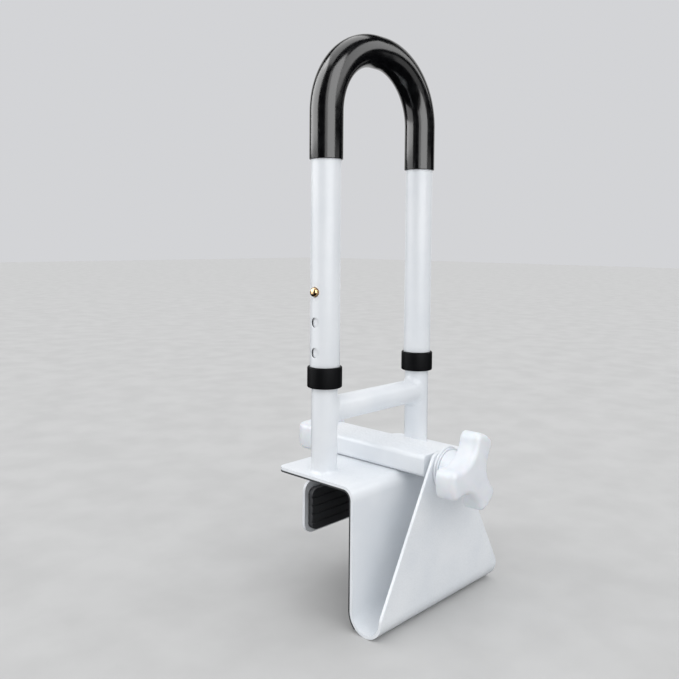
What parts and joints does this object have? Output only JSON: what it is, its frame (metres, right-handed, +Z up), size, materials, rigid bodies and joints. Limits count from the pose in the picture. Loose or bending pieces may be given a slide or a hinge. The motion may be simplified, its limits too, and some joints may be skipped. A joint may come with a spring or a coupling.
{
  "type": "bathtub safety rail",
  "caption": "Clamp-on grab rail for a bathtub rim: inverted U handle with sleeve grip, height adjustable on spring buttons, on a folded steel bracket clamped by a lobed knob.",
  "frame": {"origin": "underside of the rim liner, midway between the two posts, where the rail rests on the tub's rim", "axes": "+X along the rim, +Y into the tub, +Z up"},
  "size_m": [0.164, 0.1928, 0.4913],
  "materials": {
    "white_powder_coat": "satin",
    "black_vinyl": "gloss",
    "black_plastic": "satin",
    "grey_rubber": "matte",
    "brass": "polished",
    "spring_steel": "plain",
    "zinc_steel": "zinc plated",
    "white_nylon": "satin"
  },
  "bodies": {
    "frame": {"base_bracket": "white_powder_coat", "rim_liner": "grey_rubber", "post_left": "white_powder_coat", "post_right": "white_powder_coat", "cross_tube": "white_powder_coat", "snap_spring_left": "spring_steel", "snap_spring_right": "spring_steel", "knob_washer": "white_powder_coat"},
    "handle": {"handle_tube": "white_powder_coat", "grip": "black_vinyl", "collar_left": "black_plastic", "collar_right": "black_plastic"},
    "button_left": {"snap_button_left": "brass"},
    "button_right": {"snap_button_right": "brass"},
    "screw": {"knob": "white_nylon", "knob_bolt": "zinc_steel", "thrust_washer": "white_nylon", "retaining_ring": "spring_steel"},
    "jaw": {"clamp_bar": "white_powder_coat", "threaded_end_plate": "white_powder_coat", "bar_end_cap": "white_nylon", "inner_jaw": "white_powder_coat", "jaw_pad": "grey_rubber"}
  },
  "joints": [
    {"name": "handle_slide", "type": "slide", "parent": "frame", "child": "handle", "axis": [0, 0, 1], "range_m": [0, 0.0508], "deforming": ["snap_button_left", "snap_button_right"]},
    {"name": "button_left_press", "type": "slide", "parent": "frame", "child": "button_left", "axis": [1, 0, 0], "range_m": [0, 0.005], "stiffness_N_per_m": 2000, "springref_m": -0.002, "deforming": ["snap_spring_left"]},
    {"name": "button_right_press", "type": "slide", "parent": "frame", "child": "button_right", "axis": [-1, 0, 0], "range_m": [0, 0.005], "stiffness_N_per_m": 2000, "springref_m": -0.002, "deforming": ["snap_spring_right"]},
    {"name": "knob_turn", "type": "hinge", "parent": "frame", "child": "screw", "pos_m": [0, -0.0803, 0.0099], "axis": [0, 1, 0], "range_deg": [0, 11520]},
    {"name": "jaw_slide", "type": "slide", "parent": "frame", "child": "jaw", "axis": [0, 1, 0], "range_m": [0, 0.04001]}
  ],
  "couplings": [
    {"joint": "jaw_slide", "follows": "knob_turn", "m_per_rad": 0.00019894}
  ]
}
